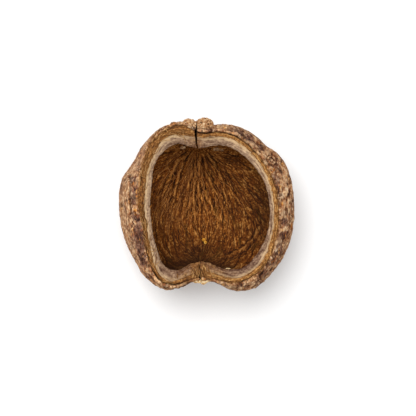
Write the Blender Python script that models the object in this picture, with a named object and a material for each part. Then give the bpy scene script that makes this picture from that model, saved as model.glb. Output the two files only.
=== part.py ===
"""An opened, empty sterculia pod: one woody boat-shaped husk that lies on its back with its mouth up.

+Y points to the stem end, -Y to the beak and +Z out of the mouth, in metres.
The wall runs down its outside from one lip to the other, over that lip, back through the inside and over
the first lip. A grid that is wrapped round this way is the whole husk, and its long lines run from the
stem to the beak, as the fibres of the real husk do.
"""

import math
from bisect import bisect_right

import bmesh
import bpy
from mathutils import Vector, noise

MM = 0.001

# Outlines seen from above: azimuth in degrees, clockwise from the stem, and radius in millimetres
BODY_OUTLINE = [
    (0, 38.0), (22, 43.1), (42, 46.1), (62, 50.4), (90, 51.6), (120, 53.0), (138, 53.3), (148, 52.5),
    (158, 47.6), (168, 39.7), (180, 37.3), (188, 40.6), (196, 44.7), (204, 46.7), (218, 45.2), (231, 40.9),
    (250, 38.2), (270, 37.0), (286, 37.9), (306, 35.8), (322, 40.4), (335, 43.9), (347, 42.6),
]
MOUTH_OUTLINE = [
    (0, 27.4), (12, 29.3), (24, 31.6), (50, 33.3), (70, 35.0), (90, 36.5), (112, 38.1), (134, 39.4),
    (148, 38.4), (159, 35.4), (169, 30.8), (180, 28.8), (190, 31.2), (198, 35.2), (206, 36.4), (217, 33.9),
    (232, 29.2), (250, 25.0), (268, 24.0), (285, 24.3), (303, 26.6), (325, 31.2), (340, 32.3), (351, 29.2),
]

# Heights above the surface that the pod lies on
RIM_HEIGHT = 42.0 * MM
RIM_SADDLE = 1.3 * MM  # the two ends stand this much over the mean, and the sides as much under it
WIDEST_HEIGHT = 26.0 * MM
FOOT_SINK = 0.45 * MM  # how far the back would reach below the foot, had it not been flattened
FOOT_CALM = (7 * MM, 16 * MM)  # the wrinkles grow between these distances from the foot's centre

# Wall
WALL = 6.0 * MM
FLOOR_THICKNESS = 5.2 * MM
BACK_CENTRE = Vector((5.0 * MM, -1.0 * MM))  # the lowest point of the outside, under the weight
FLOOR_CENTRE = Vector((2.5 * MM, -1.0 * MM))  # the lowest point of the inside
BACK_RADIUS = 43.0 * MM  # the back is rounder than the mouth: its lobes fade towards this radius
TURN_IN = math.radians(75)  # how far the wall leans in above its widest place

# Lip: from the rind's crest over a groove and the amber ridge, down the pale band to the mouth
LIP_AT_SIDE = 3.9 * MM
LIP_AT_END = 7.6 * MM
AMBER_SHARE = 0.33
CREST_REACH = 0.8 * MM
EDGE_ROUND = 0.8 * MM
GROOVE_WIDTH = 0.7 * MM
GROOVE_DEPTH = 1.7 * MM
RIDGE_DROP = 0.2 * MM
BAND_SLOPE = 0.62

# Relief along the fibres
WRINKLE = 0.75 * MM
RIB = 0.95 * MM
WRINKLES_ACROSS = 9.0
RIBS_ACROSS = 13.0
RIB_FAN = 0.7  # how much the ribs spread apart from the stem to the beak, over the grid's own lines

# Stem scar, in two lobes, the torn tip of the beak, and the two splits
LOBES = {
    "stem_lobe_left": (Vector((-4.7, 39.4, 36.6)) * MM, Vector((4.3, 3.9, 5.6)) * MM, 3),
    "stem_lobe_right": (Vector((4.2, 38.9, 36.8)) * MM, Vector((4.2, 4.2, 6.0)) * MM, 8),
    "beak_tip": (Vector((0.6, -37.6, 39.2)) * MM, Vector((3.2, 2.4, 3.2)) * MM, 5),
}
LOBE_ROUGHNESS = 0.16
CRACK = {"ends": (24.0 * MM, 46.0 * MM), "half_width": 0.55 * MM, "top": 48.0 * MM, "foot": 29.5 * MM}
SUTURE = {"ends": (-42.0 * MM, -26.5 * MM), "half_width": 0.4 * MM, "top": 46.0 * MM, "foot": 38.2 * MM}

# Mesh
STATIONS = 40
OUTER_COLUMNS = 48
INNER_COLUMNS = 56
LIP_STEPS = 8
WELD = 0.01 * MM
HUSK_BROWN = (0.36, 0.22, 0.12, 1.0)


def closed_curve(points):
    """The radius in metres at any azimuth in radians, on a smooth closed curve through the points."""
    turns = [(azimuth + lap * 360, radius) for lap in (-1, 0, 1) for azimuth, radius in points]
    azimuths = [azimuth for azimuth, _ in turns]

    def slope(i):
        (before, low), (after, high) = turns[i - 1], turns[i + 1]
        return (high - low) / (after - before)

    def radius_at(azimuth):
        degrees = math.degrees(azimuth) % 360
        i = bisect_right(azimuths, degrees) - 1
        (start, low), (end, high) = turns[i], turns[i + 1]
        span = end - start
        t = (degrees - start) / span
        rise = (2 * t**3 - 3 * t**2 + 1) * low + (3 * t**2 - 2 * t**3) * high
        return MM * (rise + span * ((t**3 - 2 * t**2 + t) * slope(i) + (t**3 - t**2) * slope(i + 1)))

    return radius_at


body_radius = closed_curve(BODY_OUTLINE)
mouth_radius = closed_curve(MOUTH_OUTLINE)


def smooth_step(low, high, value):
    t = min(max((value - low) / (high - low), 0.0), 1.0)
    return t * t * (3 - 2 * t)


def rim_height(azimuth):
    return RIM_HEIGHT + RIM_SADDLE * math.cos(2 * azimuth)


def lip_width(azimuth):
    """From the groove to the mouth: narrow at the sides, wide at the stem and the beak."""
    return LIP_AT_SIDE + (LIP_AT_END - LIP_AT_SIDE) * abs(math.cos(azimuth)) ** 1.5


def groove_radius(azimuth):
    return mouth_radius(azimuth) + lip_width(azimuth)


def lip_point(azimuth, step):
    """A point of the lip, from the outer edge of the rind's crest at step 0 to the mouth at LIP_STEPS."""
    width, groove = lip_width(azimuth), groove_radius(azimuth)
    amber = AMBER_SHARE * width
    profile = [
        (groove + CREST_REACH + EDGE_ROUND, -EDGE_ROUND),
        (groove + CREST_REACH, 0.0),
        (groove + GROOVE_WIDTH / 4, -GROOVE_DEPTH),
        (groove - GROOVE_WIDTH / 4, -GROOVE_DEPTH),
        (groove - GROOVE_WIDTH, -RIDGE_DROP * 2),
        (groove - amber * 0.75, -RIDGE_DROP),
        (groove - amber, -RIDGE_DROP * 3),
        (groove - (amber + width) / 2, -RIDGE_DROP * 3 - BAND_SLOPE * (width - amber) * 0.45),
        (groove - width, -RIDGE_DROP * 3 - BAND_SLOPE * (width - amber)),
    ]
    radius, drop = profile[step]
    return polar(radius, azimuth, rim_height(azimuth) + drop)


def polar(radius, azimuth, height):
    return Vector((radius * math.sin(azimuth), radius * math.cos(azimuth), height))


def bowl_point(side, direction):
    """The point of a side of the wall that lies in this direction, on the lower half of a unit sphere."""
    azimuth = math.atan2(direction.x, direction.y)
    tilt = math.acos(min(max(-direction.z, -1.0), 1.0)) / (math.pi / 2)
    turn = tilt * (math.pi / 2 + TURN_IN)
    edge = lip_point(azimuth, side["edge_step"])
    lobed = smooth_step(0.2, 0.8, tilt)
    widest = lobed * body_radius(azimuth) + (1 - lobed) * BACK_RADIUS - side["inset"]
    if turn <= math.pi / 2:
        out = math.sin(turn)
        centre = side["centre"] * (1 - out)
        height = side["bottom"] + (WIDEST_HEIGHT - side["bottom"]) * (1 - math.cos(turn))
        point = polar(widest * out, azimuth, height)
        return Vector((point.x + centre.x, point.y + centre.y, point.z))
    lean = turn - math.pi / 2
    share = (1 - math.cos(lean)) / (1 - math.cos(TURN_IN))
    rise = math.sin(lean) / math.sin(TURN_IN)
    radius = widest + (edge.xy.length - widest) * share
    return polar(radius, azimuth, WIDEST_HEIGHT + (edge.z - WIDEST_HEIGHT) * rise)


OUTSIDE = {"edge_step": 0, "inset": 0.0, "bottom": -FOOT_SINK, "centre": BACK_CENTRE}
INSIDE = {"edge_step": LIP_STEPS, "inset": WALL, "bottom": FLOOR_THICKNESS, "centre": FLOOR_CENTRE}


def direction_of(along, across):
    """along: 0 at the stem to 1 at the beak. across: -1 at the left lip, 0 at the back, 1 at the right lip."""
    polar_angle, longitude = along * math.pi, across * math.pi / 2
    return Vector((
        math.sin(polar_angle) * math.sin(longitude),
        math.cos(polar_angle),
        -math.sin(polar_angle) * math.cos(longitude),
    ))


def wrinkle(along, across):
    """The outside's folds, which run from the stem to the beak and fade out at both lips."""
    wave = noise.noise(Vector((across * WRINKLES_ACROSS, along * 2.2, 4.0)))
    lump = noise.noise(Vector((across * 2.6, along * 3.4, 9.0)))
    ends = math.sin(along * math.pi) ** 0.6
    return WRINKLE * (wave + lump) * ends * (1 - smooth_step(0.8, 1.0, abs(across)))


def rib(along, across):
    """The lining's ribs, which fan out from the stem and are strongest there and on the floor."""
    fan = across / (1 + RIB_FAN * (along - 0.5))
    wander = 0.08 * noise.noise(Vector((across * 2.0, along * 3.0, 1.0)))
    wave = 0.5 - 2 * abs(noise.noise(Vector(((fan + wander) * RIBS_ACROSS, along * 1.6, 7.0))))
    strength = (1 - 0.6 * smooth_step(0.4, 0.9, abs(across))) * (1 - 0.5 * smooth_step(0.5, 0.95, along))
    ends = math.sin(along * math.pi) ** 0.6
    return RIB * wave * strength * ends * (1 - smooth_step(0.85, 1.0, abs(across)))


def wrapped_columns():
    """The (kind, place) of each column of the grid, once round the wall."""
    outer = [("outer", -1 + 2 * i / OUTER_COLUMNS) for i in range(OUTER_COLUMNS + 1)]
    inner = [("inner", 1 - 2 * i / INNER_COLUMNS) for i in range(INNER_COLUMNS + 1)]
    right_lip = [("right_lip", step) for step in range(1, LIP_STEPS)]
    left_lip = [("left_lip", step) for step in range(LIP_STEPS - 1, -1, -1)]
    return outer + right_lip + inner + left_lip


def crowded_to_middle(across):
    """Brings the inside's columns closer together on the floor, where its ribs are strongest."""
    return across - 0.3 * math.sin(math.pi * across) / math.pi


def wall_place(kind, place, along):
    if kind == "outer":
        return bowl_point(OUTSIDE, direction_of(along, place))
    if kind == "inner":
        return bowl_point(INSIDE, direction_of(along, crowded_to_middle(place)))
    return lip_point(along * math.pi * (1 if kind == "right_lip" else -1), place)


def husk_mesh():
    """Wraps a flat grid into the closed husk, then raises the relief along its faces' normals."""
    columns = wrapped_columns()
    bm = bmesh.new()
    bmesh.ops.create_grid(bm, x_segments=len(columns) - 1, y_segments=STATIONS, size=1.0)
    heights = {}
    for vertex in bm.verts:
        kind, place = columns[round((vertex.co.x + 1) / 2 * (len(columns) - 1))]
        station = (vertex.co.y + 1) / 2
        along = station - 0.05 * math.sin(2 * math.pi * station)
        vertex.co = wall_place(kind, place, along)
        if kind == "outer":
            from_foot = (vertex.co - BACK_CENTRE.to_3d()).length
            heights[vertex] = wrinkle(along, place) * smooth_step(*FOOT_CALM, from_foot)
        elif kind == "inner":
            heights[vertex] = rib(along, crowded_to_middle(place))
    bm.normal_update()
    for vertex, height in heights.items():
        vertex.co += vertex.normal * height
    bmesh.ops.remove_doubles(bm, verts=bm.verts, dist=WELD)
    bmesh.ops.recalc_face_normals(bm, faces=bm.faces)
    mesh = bpy.data.meshes.new("pod")
    bm.to_mesh(mesh)
    bm.free()
    return mesh


def rough_lobe(name, centre, radii, seed):
    """A rough woody lump: an icosphere stretched to its radii and dented by noise."""
    bm = bmesh.new()
    bmesh.ops.create_icosphere(bm, subdivisions=3, radius=1.0)
    for vertex in bm.verts:
        dent = noise.noise(vertex.co * 1.7 + Vector((seed, 0, 0))) + 0.5 * noise.noise(vertex.co * 4.1)
        vertex.co *= 1 + LOBE_ROUGHNESS * dent
        vertex.co = centre + Vector((vertex.co.x * radii.x, vertex.co.y * radii.y, vertex.co.z * radii.z))
    mesh = bpy.data.meshes.new(name)
    bm.to_mesh(mesh)
    bm.free()
    return bpy.data.objects.new(name, mesh)


def split_cutter(name, ends, half_width, top, foot):
    """A thin wedge, wide at the top and narrow at its foot, that wanders a little along its length."""
    bm = bmesh.new()
    bmesh.ops.create_grid(bm, x_segments=1, y_segments=5, size=1.0)
    sheet = bmesh.ops.extrude_face_region(bm, geom=bm.faces[:])["geom"]
    upper = {item for item in sheet if isinstance(item, bmesh.types.BMVert)}
    start, end = ends
    for vertex in bm.verts:
        y = start + (end - start) * (vertex.co.y + 1) / 2
        drift = 0.5 * MM * noise.noise(Vector((y / (5 * MM), 2.0, 0.0)))
        width = half_width if vertex in upper else half_width / 3
        vertex.co = Vector((vertex.co.x * width + drift, y, top if vertex in upper else foot))
    bmesh.ops.recalc_face_normals(bm, faces=bm.faces)
    mesh = bpy.data.meshes.new(name)
    bm.to_mesh(mesh)
    bm.free()
    return bpy.data.objects.new(name, mesh)


def foot_cutter():
    """Everything below the surface that the pod lies on."""
    bm = bmesh.new()
    bmesh.ops.create_cube(bm, size=60 * MM)
    bmesh.ops.translate(bm, verts=bm.verts, vec=(0, 0, -30 * MM))
    mesh = bpy.data.meshes.new("foot_cutter")
    bm.to_mesh(mesh)
    bm.free()
    return bpy.data.objects.new("foot_cutter", mesh)


def husk_material():
    material = bpy.data.materials.new("woody_husk")
    material.use_nodes = True
    shader = material.node_tree.nodes["Principled BSDF"]
    shader.inputs["Base Color"].default_value = HUSK_BROWN
    shader.inputs["Roughness"].default_value = 0.85
    shader.inputs["Metallic"].default_value = 0.0
    return material


def add_boolean(target, tool, operation):
    tool.hide_render = True
    tool.display_type = "WIRE"
    modifier = target.modifiers.new(tool.name, "BOOLEAN")
    modifier.operation = operation
    modifier.object = tool


def base_centre(item):
    """The middle of the bottom of an object's bounding box, as its modifiers leave it."""
    box = [Vector(corner) for corner in item.evaluated_get(bpy.context.evaluated_depsgraph_get()).bound_box]
    low = Vector(map(min, *box))
    high = Vector(map(max, *box))
    return Vector(((low.x + high.x) / 2, (low.y + high.y) / 2, low.z))


def main():
    for old in list(bpy.data.objects):
        bpy.data.objects.remove(old)
    parts = bpy.data.collections.new("sterculia_pod")
    cutters = bpy.data.collections.new("cutters")
    for collection in (parts, cutters):
        bpy.context.scene.collection.children.link(collection)

    pod = bpy.data.objects.new("pod", husk_mesh())
    pod.data.materials.append(husk_material())
    parts.objects.link(pod)

    lobes = [rough_lobe(name, *sizes) for name, sizes in LOBES.items()]
    splits = [split_cutter("crack", **CRACK), split_cutter("suture", **SUTURE)]
    for tool in (*lobes, *splits, foot_cutter()):
        cutters.objects.link(tool)
        tool.parent = pod
        add_boolean(pod, tool, "UNION" if tool in lobes else "DIFFERENCE")
    pod.data.shade_smooth()
    pod.location = -base_centre(pod)


main()
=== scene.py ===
"""The looks of an opened, empty sterculia pod on its back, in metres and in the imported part's frame.

The husk is dressed in three closed layers that follow the solid: the corky rind, the lip with its amber
ridge and pale band, and the fibrous lining. The stem scar, the torn beak, loose fibres and crumbs are
pieces of their own. Fibres run from the stem (+Y) to the beak (-Y), so most relief and colour is laid out
along them.
"""

import math
import random

import bmesh
import bpy
import numpy as np
from mathutils import Matrix, Vector, noise
from mathutils.bvhtree import BVHTree


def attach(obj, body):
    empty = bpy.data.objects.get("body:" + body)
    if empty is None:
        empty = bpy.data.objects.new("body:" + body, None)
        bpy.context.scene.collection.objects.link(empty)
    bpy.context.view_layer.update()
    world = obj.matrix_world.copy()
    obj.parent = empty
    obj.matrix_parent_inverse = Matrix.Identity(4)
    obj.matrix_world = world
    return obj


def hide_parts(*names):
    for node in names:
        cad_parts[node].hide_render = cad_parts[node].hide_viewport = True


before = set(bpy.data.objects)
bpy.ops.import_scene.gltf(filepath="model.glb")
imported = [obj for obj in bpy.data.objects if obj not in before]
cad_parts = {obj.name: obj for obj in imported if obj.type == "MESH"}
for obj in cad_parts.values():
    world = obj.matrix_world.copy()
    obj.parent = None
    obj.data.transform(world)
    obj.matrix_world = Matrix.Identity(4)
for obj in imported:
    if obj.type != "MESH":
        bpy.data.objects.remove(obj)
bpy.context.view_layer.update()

MM = 0.001
NODE = "pod"
BODY = "root"
SEED = 7

# The upright axis that the outlines are measured from, and the outlines themselves: azimuth in degrees,
# clockwise from the stem, and radius in millimetres
AXIS = np.array([-5.25, 0.30, 0.0]) * MM
BODY_OUTLINE = [
    (0, 38.0), (22, 43.1), (42, 46.4), (52, 47.6), (60, 50.6), (70, 52.2), (90, 52.2), (120, 53.8),
    (138, 54.0), (148, 53.9), (158, 49.4), (168, 40.8), (180, 37.3), (188, 40.6), (196, 44.7), (204, 46.7),
    (218, 45.4), (231, 41.1), (250, 38.0), (270, 36.6), (283, 37.2), (291, 37.2), (297, 34.8), (306, 33.8),
    (322, 38.8), (335, 42.0), (347, 41.6),
]
MOUTH_OUTLINE = [
    (0, 27.7), (10, 28.4), (20, 30.7), (30, 32.4), (45, 33.4), (60, 34.3), (75, 35.6), (90, 36.4),
    (105, 37.7), (120, 38.9), (135, 39.8), (147, 39.8), (154, 37.6), (160, 35.5), (166, 32.5), (171, 30.6),
    (180, 29.8), (189, 31.2), (195, 34.1), (200, 35.7), (205, 36.2), (211, 35.2), (218, 32.6), (226, 29.8),
    (235, 27.5), (245, 25.6), (255, 24.4), (270, 23.8), (285, 23.9), (298, 25.4), (310, 28.2), (320, 30.0),
    (332, 31.3), (343, 31.4), (351, 29.2),
]
BAND_OUTLINE = [
    (0, 32.9), (8, 33.0), (15, 34.1), (22, 35.4), (30, 36.3), (40, 36.9), (50, 36.9), (60, 37.3),
    (75, 37.9), (90, 38.6), (100, 39.2), (110, 40.4), (120, 41.6), (130, 43.3), (140, 43.9), (149, 43.5),
    (155, 42.2), (160, 40.2), (165, 37.6), (171, 35.3), (180, 34.2), (188, 36.4), (195, 39.5), (200, 41.4),
    (205, 41.8), (210, 40.6), (216, 38.2), (222, 35.2), (230, 32.1), (240, 29.4), (250, 27.6), (260, 27.1),
    (270, 26.9), (280, 26.9), (290, 27.5), (300, 29.3), (310, 31.0), (318, 32.1), (325, 34.1), (330, 35.7),
    (336, 36.4), (343, 36.1), (350, 34.3), (355, 33.3),
]
GROOVE_OUTLINE = [
    (0, 35.8), (6, 35.1), (12, 35.8), (20, 37.3), (30, 38.4), (40, 38.7), (50, 38.6), (60, 39.0),
    (75, 39.7), (90, 40.4), (100, 41.2), (110, 42.4), (120, 43.9), (130, 45.5), (140, 45.9), (150, 45.4),
    (155, 44.2), (160, 42.6), (165, 40.3), (171, 38.2), (180, 36.9), (187, 38.2), (191, 40.0), (195, 41.8),
    (200, 42.9), (205, 43.1), (210, 42.3), (215, 40.6), (222, 37.4), (230, 34.3), (240, 31.0), (250, 29.2),
    (260, 29.1), (270, 29.5), (280, 29.6), (290, 30.2), (300, 31.8), (310, 33.5), (320, 36.6), (325, 37.9),
    (330, 38.9), (337, 39.5), (345, 39.9), (350, 39.3), (355, 37.7),
]
# How far the groove outside the amber ridge is open: azimuth, and 0 to 1
GROOVE_OPEN = [
    (0, 0.9), (12, 1.0), (25, 0.9), (40, 0.6), (60, 0.45), (80, 0.25), (105, 0.2), (130, 0.4), (150, 0.5),
    (165, 0.5), (180, 0.1), (192, 0.6), (205, 1.0), (215, 0.8), (228, 0.55), (240, 0.3), (255, 0.1),
    (290, 0.0), (320, 0.0), (335, 0.25), (345, 0.6), (353, 0.6),
]
# How light the band is at its inner and at its outer edge: azimuth, and -1 to 1
BAND_INNER = [
    (0, -0.9), (15, -0.5), (30, 0.0), (60, 0.1), (90, -0.4), (108, -0.1), (130, -1.5), (145, -2.0),
    (155, -2.1), (168, -1.8), (192, -1.7), (204, -1.4), (215, -0.1), (235, 0.2), (270, 0.3), (300, 0.6),
    (325, 0.4), (345, -0.7),
]
BAND_OUTER = [
    (0, -0.6), (15, 0.0), (30, 0.5), (60, 0.3), (90, 0.0), (110, -0.4), (130, -0.5), (145, -0.8),
    (157, -1.0), (168, -1.2), (192, -1.1), (204, -0.6), (220, 0.2), (240, 0.4), (270, 0.8), (300, 0.9),
    (325, 0.7), (345, 0.1),
]

# Heights over the floor, and the wall
RIM_HEIGHT = 42.0 * MM
RIM_SADDLE = 1.3 * MM
WIDEST_HEIGHT = 26.0 * MM
BACK_RADIUS = 43.0 * MM
TURN_IN = math.radians(75)
FOOT = np.array([5.0, -1.0]) * MM
OUTSIDE = {"inset": 0.0, "bottom": -0.45 * MM, "centre": FOOT}
RIND_BACK = {"inset": 2.0 * MM, "bottom": 1.8 * MM, "centre": FOOT}
INSIDE = {"inset": 6.0 * MM, "bottom": 5.2 * MM, "centre": np.array([2.5, -1.0]) * MM}
# Relief fades away from the second of these distances from the foot to the first
FOOT_CALM = (7 * MM, 16 * MM)

# The band's slope and start under the rim, and how far the groove wanders from its outline
BAND_SLOPE = 0.62
BAND_START = -0.6 * MM
GROOVE_WANDER = 0.22 * MM

# The two splits: (x, y, half width, height of the foot) along each, in millimetres from the axis
CRACK = [
    (0.5, 47.0, 0.3, 37.5), (0.4, 42.0, 0.25, 37.5), (0.35, 38.5, 0.4, 35.0), (-0.3, 35.3, 0.85, 33.0),
    (-0.1, 32.5, 0.7, 33.0), (0.1, 29.6, 0.62, 32.0), (0.6, 28.1, 0.65, 30.0), (0.7, 25.0, 0.4, 29.5),
]
SUTURE = [
    (0.9, -43.0, 0.5, 38.6), (0.6, -39.0, 0.4, 38.8), (-0.1, -36.7, 0.6, 39.0), (0.4, -34.5, 0.25, 38.9),
    (0.1, -32.0, 0.35, 38.2), (0.7, -29.5, 0.2, 37.8), (0.6, -27.5, 0.3, 37.4),
]
SPLIT_TOP = 48.0

# How much painted shade the lining gets up its walls, and under 0 how much painted light: azimuth, and
# about -1 for palest to 1 for darkest
LINING_PAINTED_SHADE = [
    (0, 0.16), (30, 0.2), (60, 0.4), (90, 0.66), (120, 0.5), (140, 0.38), (160, 0.9), (180, 1.15),
    (200, 0.9), (220, 0.4), (240, 0.0), (255, -0.3), (270, -0.5), (300, -0.5), (320, -0.35), (335, -0.15),
    (350, 0.1),
]

# Where the lining's fibres set out under the stem, and where they meet under the beak, seen from above
FAN_STEM = np.array([2.5, 31.0]) * MM
FAN_BEAK = np.array([2.3, -31.0]) * MM

# The lining's strongest strands, seen from above: points in millimetres from the axis
STRANDS = [
    [(2.4, 28.0), (2.3, 22.8), (1.6, 15.0), (1.2, 7.6), (0.6, -1.9), (1.7, -13.6), (1.8, -26.7)],
    [(3.6, 28.0), (4.2, 22.8), (4.0, 15.0), (3.6, 7.0), (3.7, -2.0), (3.9, -11.5)],
    [(3.9, 28.0), (4.5, 22.8), (5.2, 15.7), (5.6, 9.7), (8.9, 1.6), (12.0, -6.4), (16.5, -11.8)],
    [(4.8, 28.0), (6.3, 22.8), (8.4, 14.9), (12.0, 6.8), (15.1, -1.2), (17.5, -6.6)],
    [(1.2, 28.0), (0.0, 20.3), (-1.6, 10.9), (-3.7, 1.1), (-7.1, -13.4)],
    [(-0.4, 28.6), (-3.2, 25.5), (-8.0, 21.5), (-10.8, 16.6), (-15.9, 3.8), (-17.5, -5.7)],
    [(-0.6, 28.5), (-3.9, 24.5), (-6.5, 17.0), (-8.5, 8.4), (-11.5, -1.0), (-14.3, -9.9)],
    [(6.0, 28.0), (8.6, 24.5), (12.5, 19.0), (15.8, 11.0), (18.4, 1.0), (22.5, -8.9)],
    [(36.5, -8.0), (35.2, -12.2), (28.7, -21.5), (19.3, -27.5), (8.8, -30.4)],
]

# Marks on the rind: x, y, z and radius in millimetres, from the axis. Pits have no z, as they are all on top
PURPLE_PATCHES = [
    (-30.6, 6.4, 39.6, 3.2), (-30.6, 3.0, 39.6, 3.6), (-31.0, -6.4, 39.4, 2.8), (-30.2, -12.4, 39.4, 3.8),
    (-29.8, -17.2, 39.0, 4.6), (-28.8, -22.6, 38.6, 5.0), (-26.6, -28.0, 38.0, 4.4),
    (-24.3, -35.5, 37.0, 2.6), (27.0, 32.2, 39.6, 3.2), (21.2, 34.6, 39.8, 2.8), (33.0, 27.6, 39.6, 2.2),
    (38.8, 10.4, 39.4, 2.6), (46.5, 4.0, 36.5, 1.6), (44.0, -10.5, 39.0, 2.4), (43.6, -17.6, 39.0, 3.0),
    (40.2, -24.5, 39.0, 3.0), (36.4, -30.0, 39.0, 3.0), (30.5, -36.0, 39.0, 3.2), (22.3, -41.4, 38.0, 2.4),
    (-32.0, 12.0, 38.0, 2.4), (-21.0, 32.5, 38.5, 1.8),
]
ORANGE_SPOTS = [
    (-31.4, -2.9, 39.4, 0.9), (-30.9, -4.9, 39.4, 0.7), (39.2, 15.6, 39.8, 0.9), (42.8, -1.2, 39.4, 1.0),
    (-32.0, 10.4, 39.0, 0.9), (-31.4, -13.0, 39.4, 0.8),
]
PALE_FLAKES = [
    (43.4, -14.6, 39.6, 1.1), (42.8, -6.4, 39.6, 1.3), (41.6, -20.2, 39.8, 0.9), (39.0, -24.6, 40.0, 1.0),
    (45.5, 6.0, 38.0, 1.2), (-30.0, -20.2, 39.4, 0.5), (24.5, -40.2, 38.6, 1.2), (19.5, -42.4, 38.0, 1.2),
    (21.8, 37.6, 39.4, 1.3), (13.0, 39.4, 40.0, 1.2), (37.6, 21.0, 39.6, 0.8), (43.5, 2.6, 39.2, 1.2),
    (-30.6, 1.0, 39.4, 0.8), (34.0, -33.6, 39.4, 0.9), (-20.0, 34.0, 39.0, 1.4), (-14.0, 39.6, 38.6, 1.5),
]
PITS = [
    (46.7, 2.9, 0.9), (43.4, 15.0, 0.8), (34.0, 26.7, 0.7), (-38.0, -0.4, 0.6), (-35.6, 2.1, 0.5),
    (-24.5, 27.0, 0.6),
]
# The pits and the crease are only over this height. The knob's rings are the radius and the rise of each
MARKS_FROM = 28.0 * MM
KNOB = (38.3, 20.8, 39.0)
KNOB_RINGS = [(2.0, 0.4), (1.2, -0.5), (2.8, -0.5)]
CREASE = [(-33.0, 16.0), (-33.5, 12.4), (-33.9, 6.0), (-33.8, -1.2), (-33.2, -6.0)]

# The stem scar's two lobes and the beak: centre and radii in millimetres, from the axis, seed and roughness
LUMPS = {
    "stem_left": ((-3.2, 38.6, 37.4), (4.0, 3.9, 5.4), 3.0, 0.2),
    "stem_right": ((4.5, 38.9, 37.2), (4.3, 4.2, 5.7), 8.0, 0.2),
    "beak": ((0.6, -37.4, 39.2), (3.0, 2.3, 3.0), 5.0, 0.25),
}

# A crumb on the lining, the scars where seeds hung, flakes on the lip, and the beak's pale torn tips: centre
# and radii in millimetres, from the axis, and the kind that gives their colours
BITS = {
    "crumb_upper": ((5.2, -19.3, 9.4), (0.95, 0.75, 0.6), "crumb"),
    "crumb_lower": ((6.1, -20.8, 9.4), (0.75, 0.95, 0.6), "crumb"),
    "seed_scar_right": ((10.4, 26.9, 37.4), (1.4, 0.7, 0.6), "scar"),
    "seed_scar_beside": ((13.2, 26.4, 37.2), (0.9, 0.5, 0.5), "scar"),
    "seed_scar_left": ((-6.6, 28.0, 37.8), (1.3, 0.7, 0.6), "scar"),
    "lip_flake": ((-23.3, 18.3, 40.1), (0.5, 0.45, 0.3), "pale"),
    "lip_fleck": ((14.6, -33.5, 38.0), (1.2, 0.35, 0.3), "pale"),
    "beak_tip_left": ((-1.2, -39.0, 41.4), (2.5, 1.0, 1.0), "pale"),
    "beak_tip_middle": ((2.0, -39.7, 41.0), (1.6, 1.1, 1.0), "pale"),
    "beak_tip_right": ((4.0, -39.0, 41.2), (1.1, 0.8, 0.8), "pale"),
}
BIT_SEED = 20.0
BIT_ROUGHNESS = 0.32
BIT_FINENESS = 5

# Dark, middle and light colours, 0 to 255 a channel
COLOURS = {
    "crumb": ((176, 104, 24), (240, 164, 50), (255, 214, 108)),
    "scar": ((66, 40, 22), (112, 80, 52), (166, 132, 94)),
    "pale": ((168, 118, 68), (232, 192, 134), (255, 232, 190)),
    "stem": ((140, 88, 48), (196, 146, 98), (240, 210, 168)),
    "beak": ((74, 44, 20), (138, 92, 48), (200, 152, 96)),
    # The faces inside the crack and the suture are darkest, as painted shade down in the splits
    "torn": ((34, 18, 8), (70, 42, 22), (120, 80, 46)),
    "strand": ((58, 26, 4), (128, 68, 20), (216, 146, 78)),
    "fray": ((84, 48, 14), (144, 94, 42), (214, 168, 108)),
}

# Grid sizes
RIND_COLUMNS = 680
RIND_ROWS = 118
LIP_COLUMNS = 1300
LIP_ROWS = 62
LINING_STATIONS = 196
LINING_COLUMNS = 430
HIDDEN_COLUMNS = 40

# Loose fibres: how many, then the least and the most of their length, radius and lift, in millimetres
FIBRES = {
    "strands": (900, (4, 15), (0.09, 0.2), (0.0, 0.35)),
    "frays": (210, (3, 9), (0.08, 0.17), (0.0, 0.2)),
    "tears": (45, (2.8, 5), (0.12, 0.3), (0.0, 0.4)),
}
# STEEPEST is the least that the normal of a surface under them points up, LINING_TOP is just under the lip,
# and frays are drawn from each of the FRAYED spans of azimuth alike
FIBRE_STEP = 0.7 * MM
STEEPEST = 0.12
STRAY_SHARE = 0.05
ABOVE_ALL = 60 * MM
LINING_TOP = RIM_HEIGHT - 3.5 * MM
FRAYED = ((198, 262), (292, 352), (0, 360))

# Camera: the photograph's, a little to the left of straight above, and turned a little
IMAGE_PIXELS = 416
PIXELS_PER_MM = 2.0
AXIS_PIXEL = (197.9, 203.0)
CAMERA_TILT = math.radians(5.0)
CAMERA_ROLL = math.radians(1.39)
CAMERA_DISTANCE = 0.581
SENSOR = 36.0

# Light and floor. A white surface that faces up is WHITE_LEVEL times brighter than white on screen
WORLD_STRENGTH = 0.82
KEY_ENERGY = 32.0
KEY_SIZE = 1.3
KEY_PLACE = (-0.52, 0.60, 1.85)
FLOOR_REACH = 1.5
FLOOR_GREY = (0.82, 0.82, 0.82, 1.0)
WHITE_LEVEL = 1.3


# Outlines and profiles

def hermite(t, start, end, leave, arrive):
    """A smooth way from start to end, at t from 0 to 1, that leaves and arrives at these rates."""
    between = (2 * t**3 - 3 * t**2 + 1) * start + (3 * t**2 - 2 * t**3) * end
    return between + (t**3 - 2 * t**2 + t) * leave + (t**3 - t**2) * arrive


def closed_curve(points, unit=MM):
    """A function of azimuths in radians that runs smoothly through the points and closes on itself."""
    azimuths = np.array([azimuth + lap * 360 for lap in (-1, 0, 1) for azimuth, _ in points], float)
    radii = np.array([radius for _ in range(3) for _, radius in points]) * unit
    slopes = np.zeros_like(radii)
    slopes[1:-1] = (radii[2:] - radii[:-2]) / (azimuths[2:] - azimuths[:-2])

    def radius_at(azimuth):
        degrees = np.degrees(azimuth) % 360
        i = np.searchsorted(azimuths, degrees, side="right") - 1
        span = azimuths[i + 1] - azimuths[i]
        t = (degrees - azimuths[i]) / span
        return hermite(t, radii[i], radii[i + 1], span * slopes[i], span * slopes[i + 1])

    return radius_at


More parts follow.
